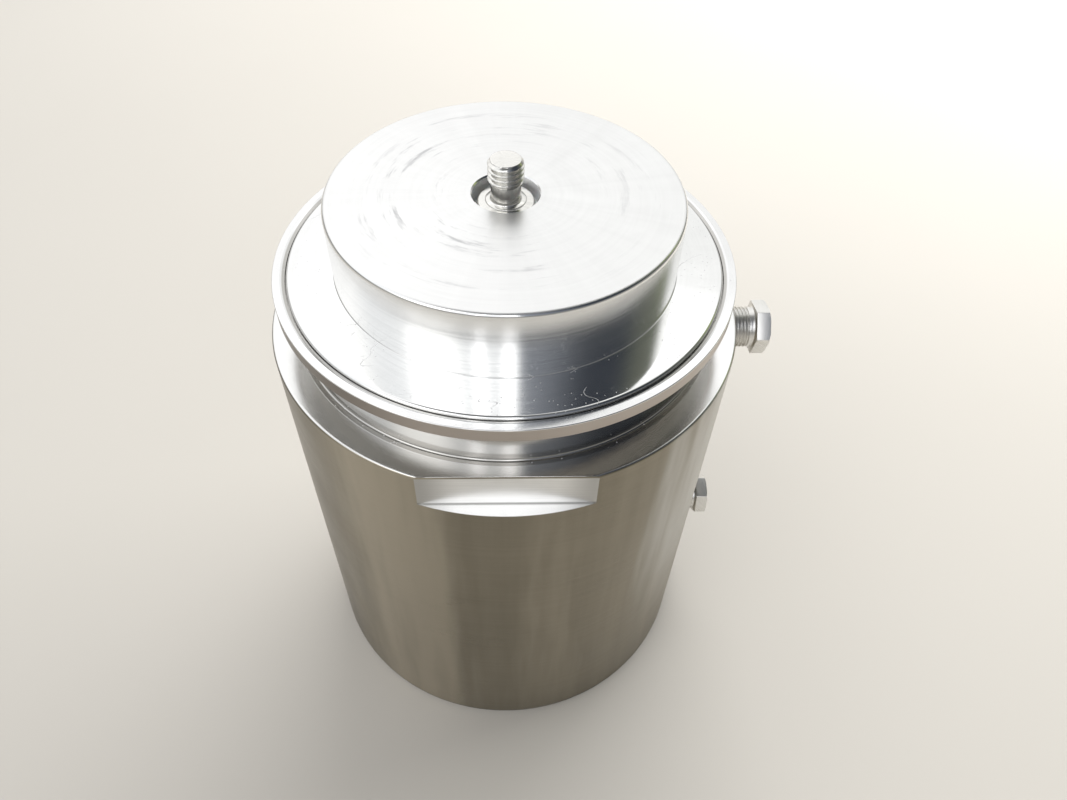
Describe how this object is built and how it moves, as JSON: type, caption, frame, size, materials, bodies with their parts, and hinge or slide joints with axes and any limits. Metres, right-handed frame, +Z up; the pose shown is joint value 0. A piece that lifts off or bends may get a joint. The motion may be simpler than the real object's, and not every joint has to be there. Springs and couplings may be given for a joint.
{
  "type": "liquid nitrogen dewar",
  "caption": "Small vacuum-jacketed stainless dewar: cylindrical jacket, waisted flanged neck, bossed lid with a threaded lift rod, and hex-plugged side ports.",
  "frame": {"origin": "centre of the underside of the base plate, on the jacket's axis, where the dewar stands", "axes": "+Z up along the jacket's axis to the stud; +X towards the two port plugs; -Y is the front, with a wrench flat"},
  "size_m": [0.1956, 0.18, 0.2525],
  "materials": {
    "satin_steel": "satin brushed stainless steel, warm grey",
    "polished_steel": "polished stainless steel, turned",
    "lid_steel": "fine satin stainless steel with faint circular swirl marks",
    "plug_steel": "turned and milled stainless steel",
    "thin_steel": "cold rolled thin stainless steel",
    "screw_steel": "plain stainless fasteners",
    "copper": "polished copper shield",
    "foil": "crinkled metallised film",
    "getter_mesh": "satin aluminium",
    "zeolite": "beige molecular sieve beads",
    "glass_epoxy": "glass-epoxy, translucent green-yellow",
    "ptfe": "white PTFE",
    "black_rubber": "black nitrile",
    "foam": "rigid closed-cell foam, cream"
  },
  "bodies": {
    "vessel": {"outer_jacket": "satin_steel", "base_plate": "satin_steel", "base_seal": "black_rubber", "base_screws": "screw_steel", "neck_flange": "polished_steel", "neck_tube": "thin_steel", "inner_vessel": "thin_steel", "vessel_top": "thin_steel", "radiation_shield": "copper", "superinsulation": "foil", "getter_cup": "getter_mesh", "adsorbent": "zeolite", "support_post": "glass_epoxy", "locating_cup": "thin_steel", "gauge_port_boss": "satin_steel", "lid_seal": "ptfe"},
    "lid_group": {"lid": "lid_steel", "stopper": "foam", "baffle_plate": "thin_steel", "stopper_bolts": "screw_steel", "rod_bush": "ptfe", "bush_circlip": "screw_steel", "seat_washer": "ptfe"},
    "rod_group": {"lift_rod": "plug_steel", "canister": "thin_steel", "canister_bridge": "thin_steel", "canister_nuts": "screw_steel"},
    "vacuum_plug_travel_body": {"vacuum_port_tape": "ptfe"},
    "vacuum_plug_body": {"vacuum_port_plug": "plug_steel"},
    "gauge_plug_travel_body": {"gauge_port_tape": "ptfe"},
    "gauge_plug_body": {"gauge_port_plug": "plug_steel"}
  },
  "joints": [
    {"name": "lid_lift", "type": "slide", "parent": "vessel", "child": "lid_group", "axis": [0, 0, 1], "range_m": [0, 0.18]},
    {"name": "rod_lift", "type": "slide", "parent": "lid_group", "child": "rod_group", "axis": [0, 0, 1], "range_m": [0, 0.045]},
    {"name": "vacuum_plug_travel", "type": "slide", "parent": "vessel", "child": "vacuum_plug_travel_body", "axis": [1, 0, 0], "range_m": [0, 0.01129]},
    {"name": "vacuum_plug_turn", "type": "hinge", "parent": "vacuum_plug_travel_body", "child": "vacuum_plug_body", "pos_m": [0.09, 0, 0.1755], "axis": [1, 0, 0], "range_deg": [0, 2881]},
    {"name": "gauge_plug_travel", "type": "slide", "parent": "vessel", "child": "gauge_plug_travel_body", "axis": [1, 0, 0], "range_m": [0, 0.0127]},
    {"name": "gauge_plug_turn", "type": "hinge", "parent": "gauge_plug_travel_body", "child": "gauge_plug_body", "pos_m": [0.09, 0, 0.057], "axis": [1, 0, 0], "range_deg": [0, 3241]}
  ],
  "couplings": [
    {"joint": "vacuum_plug_turn", "follows": "vacuum_plug_travel", "rad_per_m": 4453},
    {"joint": "gauge_plug_turn", "follows": "gauge_plug_travel", "rad_per_m": 4453}
  ]
}
